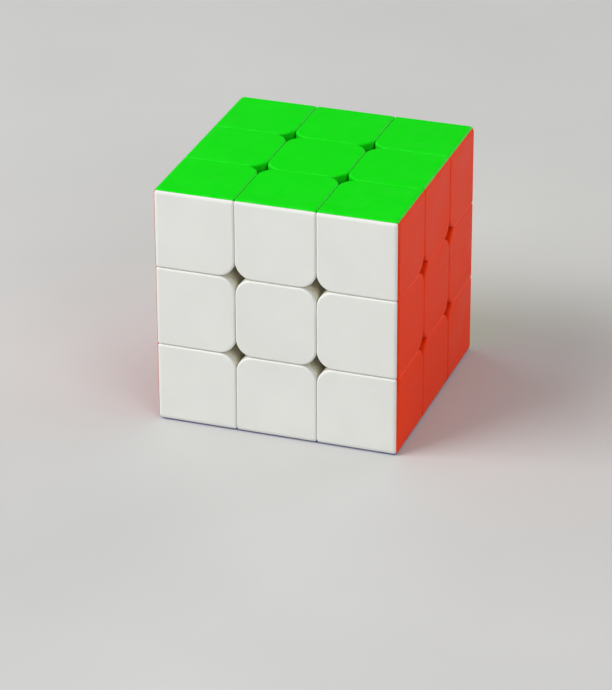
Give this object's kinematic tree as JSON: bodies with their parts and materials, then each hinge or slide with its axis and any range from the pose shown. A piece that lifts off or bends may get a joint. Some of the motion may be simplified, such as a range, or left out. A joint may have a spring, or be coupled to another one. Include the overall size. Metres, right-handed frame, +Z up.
{
  "type": "twisty puzzle cube",
  "caption": "Cube-shaped twisty puzzle with solid-coloured faces; every face turns about the cube's middle on a sprung core.",
  "frame": {"origin": "middle of the cube, where all turning axes meet", "axes": "+Z up through the green top face, -Y out of the white front face, +X out of the orange right face"},
  "size_m": [0.056, 0.056, 0.056],
  "materials": {
    "plastic_green": "satin moulded colour",
    "plastic_blue": "satin moulded colour",
    "plastic_white": "satin moulded colour",
    "plastic_yellow": "satin moulded colour",
    "plastic_orange": "satin moulded colour",
    "plastic_red": "satin moulded colour",
    "plastic_inner_grey": "moulded, lubricated",
    "plastic_core": "moulded",
    "steel_screw": "machined",
    "steel_spring": "drawn wire"
  },
  "bodies": {
    "core": {"core": "plastic_core", "spring_top": "steel_spring", "spring_bottom": "steel_spring", "spring_front": "steel_spring", "spring_back": "steel_spring", "spring_right": "steel_spring", "spring_left": "steel_spring"},
    "centre_top": {"centre_base_top": "plastic_green"},
    "centre_bottom": {"centre_base_bottom": "plastic_blue"},
    "centre_front": {"centre_base_front": "plastic_white"},
    "centre_back": {"centre_base_back": "plastic_yellow"},
    "centre_right": {"centre_base_right": "plastic_orange"},
    "centre_left": {"centre_base_left": "plastic_red"},
    "cap_top": {"centre_cap_top": "plastic_green"},
    "cap_bottom": {"centre_cap_bottom": "plastic_blue"},
    "cap_front": {"centre_cap_front": "plastic_white"},
    "cap_back": {"centre_cap_back": "plastic_yellow"},
    "cap_right": {"centre_cap_right": "plastic_orange"},
    "cap_left": {"centre_cap_left": "plastic_red"},
    "screw_top": {"tension_screw_top": "steel_screw"},
    "screw_bottom": {"tension_screw_bottom": "steel_screw"},
    "screw_front": {"tension_screw_front": "steel_screw"},
    "screw_back": {"tension_screw_back": "steel_screw"},
    "screw_right": {"tension_screw_right": "steel_screw"},
    "screw_left": {"tension_screw_left": "steel_screw"},
    "edge_top_front": {"edge_top_front_shell_top": "plastic_green", "edge_top_front_shell_front": "plastic_white"},
    "edge_top_back": {"edge_top_back_shell_top": "plastic_green", "edge_top_back_shell_back": "plastic_yellow"},
    "edge_top_right": {"edge_top_right_shell_top": "plastic_green", "edge_top_right_shell_right": "plastic_orange"},
    "edge_top_left": {"edge_top_left_shell_top": "plastic_green", "edge_top_left_shell_left": "plastic_red"},
    "edge_bottom_front": {"edge_bottom_front_shell_bottom": "plastic_blue", "edge_bottom_front_shell_front": "plastic_white"},
    "edge_bottom_back": {"edge_bottom_back_shell_bottom": "plastic_blue", "edge_bottom_back_shell_back": "plastic_yellow"},
    "edge_bottom_right": {"edge_bottom_right_shell_bottom": "plastic_blue", "edge_bottom_right_shell_right": "plastic_orange"},
    "edge_bottom_left": {"edge_bottom_left_shell_bottom": "plastic_blue", "edge_bottom_left_shell_left": "plastic_red"},
    "edge_front_right": {"edge_front_right_shell_front": "plastic_white", "edge_front_right_shell_right": "plastic_orange"},
    "edge_front_left": {"edge_front_left_shell_front": "plastic_white", "edge_front_left_shell_left": "plastic_red"},
    "edge_back_right": {"edge_back_right_shell_back": "plastic_yellow", "edge_back_right_shell_right": "plastic_orange"},
    "edge_back_left": {"edge_back_left_shell_back": "plastic_yellow", "edge_back_left_shell_left": "plastic_red"},
    "corner_top_front_left": {"corner_top_front_left": "plastic_inner_grey"},
    "corner_top_front_right": {"corner_top_front_right": "plastic_inner_grey"},
    "corner_top_back_left": {"corner_top_back_left": "plastic_inner_grey"},
    "corner_top_back_right": {"corner_top_back_right": "plastic_inner_grey"},
    "corner_bottom_front_left": {"corner_bottom_front_left": "plastic_inner_grey"},
    "corner_bottom_front_right": {"corner_bottom_front_right": "plastic_inner_grey"},
    "corner_bottom_back_left": {"corner_bottom_back_left": "plastic_inner_grey"},
    "corner_bottom_back_right": {"corner_bottom_back_right": "plastic_inner_grey"}
  },
  "joints": [
    {"name": "face_top", "type": "hinge", "parent": "core", "child": "centre_top", "pos_m": [0, 0, 0], "axis": [0, 0, 1], "continuous": true},
    {"name": "face_bottom", "type": "hinge", "parent": "core", "child": "centre_bottom", "pos_m": [0, 0, 0], "axis": [0, 0, 1], "continuous": true},
    {"name": "face_front", "type": "hinge", "parent": "core", "child": "centre_front", "pos_m": [0, 0, 0], "axis": [0, 1, 0], "continuous": true},
    {"name": "face_back", "type": "hinge", "parent": "core", "child": "centre_back", "pos_m": [0, 0, 0], "axis": [0, 1, 0], "continuous": true},
    {"name": "face_right", "type": "hinge", "parent": "core", "child": "centre_right", "pos_m": [0, 0, 0], "axis": [1, 0, 0], "continuous": true},
    {"name": "face_left", "type": "hinge", "parent": "core", "child": "centre_left", "pos_m": [0, 0, 0], "axis": [1, 0, 0], "continuous": true},
    {"name": "lift_cap_top", "type": "slide", "parent": "centre_top", "child": "cap_top", "axis": [0, 0, 1], "range_m": [0, 0.008]},
    {"name": "lift_cap_bottom", "type": "slide", "parent": "centre_bottom", "child": "cap_bottom", "axis": [0, 0, -1], "range_m": [0, 0.008]},
    {"name": "lift_cap_front", "type": "slide", "parent": "centre_front", "child": "cap_front", "axis": [0, -1, 0], "range_m": [0, 0.008]},
    {"name": "lift_cap_back", "type": "slide", "parent": "centre_back", "child": "cap_back", "axis": [0, 1, 0], "range_m": [0, 0.008]},
    {"name": "lift_cap_right", "type": "slide", "parent": "centre_right", "child": "cap_right", "axis": [1, 0, 0], "range_m": [0, 0.008]},
    {"name": "lift_cap_left", "type": "slide", "parent": "centre_left", "child": "cap_left", "axis": [-1, 0, 0], "range_m": [0, 0.008]},
    {"name": "turn_screw_top", "type": "hinge", "parent": "core", "child": "screw_top", "pos_m": [0, 0, 0], "axis": [0, 0, 1], "continuous": true},
    {"name": "turn_screw_bottom", "type": "hinge", "parent": "core", "child": "screw_bottom", "pos_m": [0, 0, 0], "axis": [0, 0, -1], "continuous": true},
    {"name": "turn_screw_front", "type": "hinge", "parent": "core", "child": "screw_front", "pos_m": [0, 0, 0], "axis": [0, -1, 0], "continuous": true},
    {"name": "turn_screw_back", "type": "hinge", "parent": "core", "child": "screw_back", "pos_m": [0, 0, 0], "axis": [0, 1, 0], "continuous": true},
    {"name": "turn_screw_right", "type": "hinge", "parent": "core", "child": "screw_right", "pos_m": [0, 0, 0], "axis": [1, 0, 0], "continuous": true},
    {"name": "turn_screw_left", "type": "hinge", "parent": "core", "child": "screw_left", "pos_m": [0, 0, 0], "axis": [-1, 0, 0], "continuous": true},
    {"name": "ride_edge_top_front", "type": "hinge", "parent": "centre_top", "child": "edge_top_front", "pos_m": [0, 0, 0], "axis": [0, 1, 0], "continuous": true},
    {"name": "ride_edge_top_back", "type": "hinge", "parent": "centre_top", "child": "edge_top_back", "pos_m": [0, 0, 0], "axis": [0, 1, 0], "continuous": true},
    {"name": "ride_edge_top_right", "type": "hinge", "parent": "centre_right", "child": "edge_top_right", "pos_m": [0, 0, 0], "axis": [0, 0, 1], "continuous": true},
    {"name": "ride_edge_top_left", "type": "hinge", "parent": "centre_left", "child": "edge_top_left", "pos_m": [0, 0, 0], "axis": [0, 0, 1], "continuous": true},
    {"name": "ride_edge_bottom_front", "type": "hinge", "parent": "centre_bottom", "child": "edge_bottom_front", "pos_m": [0, 0, 0], "axis": [0, 1, 0], "continuous": true},
    {"name": "ride_edge_bottom_back", "type": "hinge", "parent": "centre_bottom", "child": "edge_bottom_back", "pos_m": [0, 0, 0], "axis": [0, 1, 0], "continuous": true},
    {"name": "ride_edge_bottom_right", "type": "hinge", "parent": "centre_right", "child": "edge_bottom_right", "pos_m": [0, 0, 0], "axis": [0, 0, 1], "continuous": true},
    {"name": "ride_edge_bottom_left", "type": "hinge", "parent": "centre_left", "child": "edge_bottom_left", "pos_m": [0, 0, 0], "axis": [0, 0, 1], "continuous": true},
    {"name": "ride_edge_front_right", "type": "hinge", "parent": "centre_front", "child": "edge_front_right", "pos_m": [0, 0, 0], "axis": [1, 0, 0], "continuous": true},
    {"name": "ride_edge_front_left", "type": "hinge", "parent": "centre_front", "child": "edge_front_left", "pos_m": [0, 0, 0], "axis": [1, 0, 0], "continuous": true},
    {"name": "ride_edge_back_right", "type": "hinge", "parent": "centre_back", "child": "edge_back_right", "pos_m": [0, 0, 0], "axis": [1, 0, 0], "continuous": true},
    {"name": "ride_edge_back_left", "type": "hinge", "parent": "centre_back", "child": "edge_back_left", "pos_m": [0, 0, 0], "axis": [1, 0, 0], "continuous": true},
    {"name": "ride_corner_top_front_left", "type": "hinge", "parent": "edge_top_front", "child": "corner_top_front_left", "pos_m": [0, 0, 0], "axis": [1, 0, 0], "continuous": true},
    {"name": "ride_corner_top_front_right", "type": "hinge", "parent": "edge_top_front", "child": "corner_top_front_right", "pos_m": [0, 0, 0], "axis": [1, 0, 0], "continuous": true},
    {"name": "ride_corner_top_back_left", "type": "hinge", "parent": "edge_top_back", "child": "corner_top_back_left", "pos_m": [0, 0, 0], "axis": [1, 0, 0], "continuous": true},
    {"name": "ride_corner_top_back_right", "type": "hinge", "parent": "edge_top_back", "child": "corner_top_back_right", "pos_m": [0, 0, 0], "axis": [1, 0, 0], "continuous": true},
    {"name": "ride_corner_bottom_front_left", "type": "hinge", "parent": "edge_bottom_front", "child": "corner_bottom_front_left", "pos_m": [0, 0, 0], "axis": [1, 0, 0], "continuous": true},
    {"name": "ride_corner_bottom_front_right", "type": "hinge", "parent": "edge_bottom_front", "child": "corner_bottom_front_right", "pos_m": [0, 0, 0], "axis": [1, 0, 0], "continuous": true},
    {"name": "ride_corner_bottom_back_left", "type": "hinge", "parent": "edge_bottom_back", "child": "corner_bottom_back_left", "pos_m": [0, 0, 0], "axis": [1, 0, 0], "continuous": true},
    {"name": "ride_corner_bottom_back_right", "type": "hinge", "parent": "edge_bottom_back", "child": "corner_bottom_back_right", "pos_m": [0, 0, 0], "axis": [1, 0, 0], "continuous": true}
  ],
  "couplings": [
    {"joint": "ride_edge_top_front", "follows": "face_front", "ratio": 1},
    {"joint": "ride_edge_top_back", "follows": "face_back", "ratio": 1},
    {"joint": "ride_edge_top_right", "follows": "face_top", "ratio": 1},
    {"joint": "ride_edge_top_left", "follows": "face_top", "ratio": 1},
    {"joint": "ride_edge_bottom_front", "follows": "face_front", "ratio": 1},
    {"joint": "ride_edge_bottom_back", "follows": "face_back", "ratio": 1},
    {"joint": "ride_edge_bottom_right", "follows": "face_bottom", "ratio": 1},
    {"joint": "ride_edge_bottom_left", "follows": "face_bottom", "ratio": 1},
    {"joint": "ride_edge_front_right", "follows": "face_right", "ratio": 1},
    {"joint": "ride_edge_front_left", "follows": "face_left", "ratio": 1},
    {"joint": "ride_edge_back_right", "follows": "face_right", "ratio": 1},
    {"joint": "ride_edge_back_left", "follows": "face_left", "ratio": 1},
    {"joint": "ride_corner_top_front_left", "follows": "face_left", "ratio": 1},
    {"joint": "ride_corner_top_front_right", "follows": "face_right", "ratio": 1},
    {"joint": "ride_corner_top_back_left", "follows": "face_left", "ratio": 1},
    {"joint": "ride_corner_top_back_right", "follows": "face_right", "ratio": 1},
    {"joint": "ride_corner_bottom_front_left", "follows": "face_left", "ratio": 1},
    {"joint": "ride_corner_bottom_front_right", "follows": "face_right", "ratio": 1},
    {"joint": "ride_corner_bottom_back_left", "follows": "face_left", "ratio": 1},
    {"joint": "ride_corner_bottom_back_right", "follows": "face_right", "ratio": 1}
  ]
}
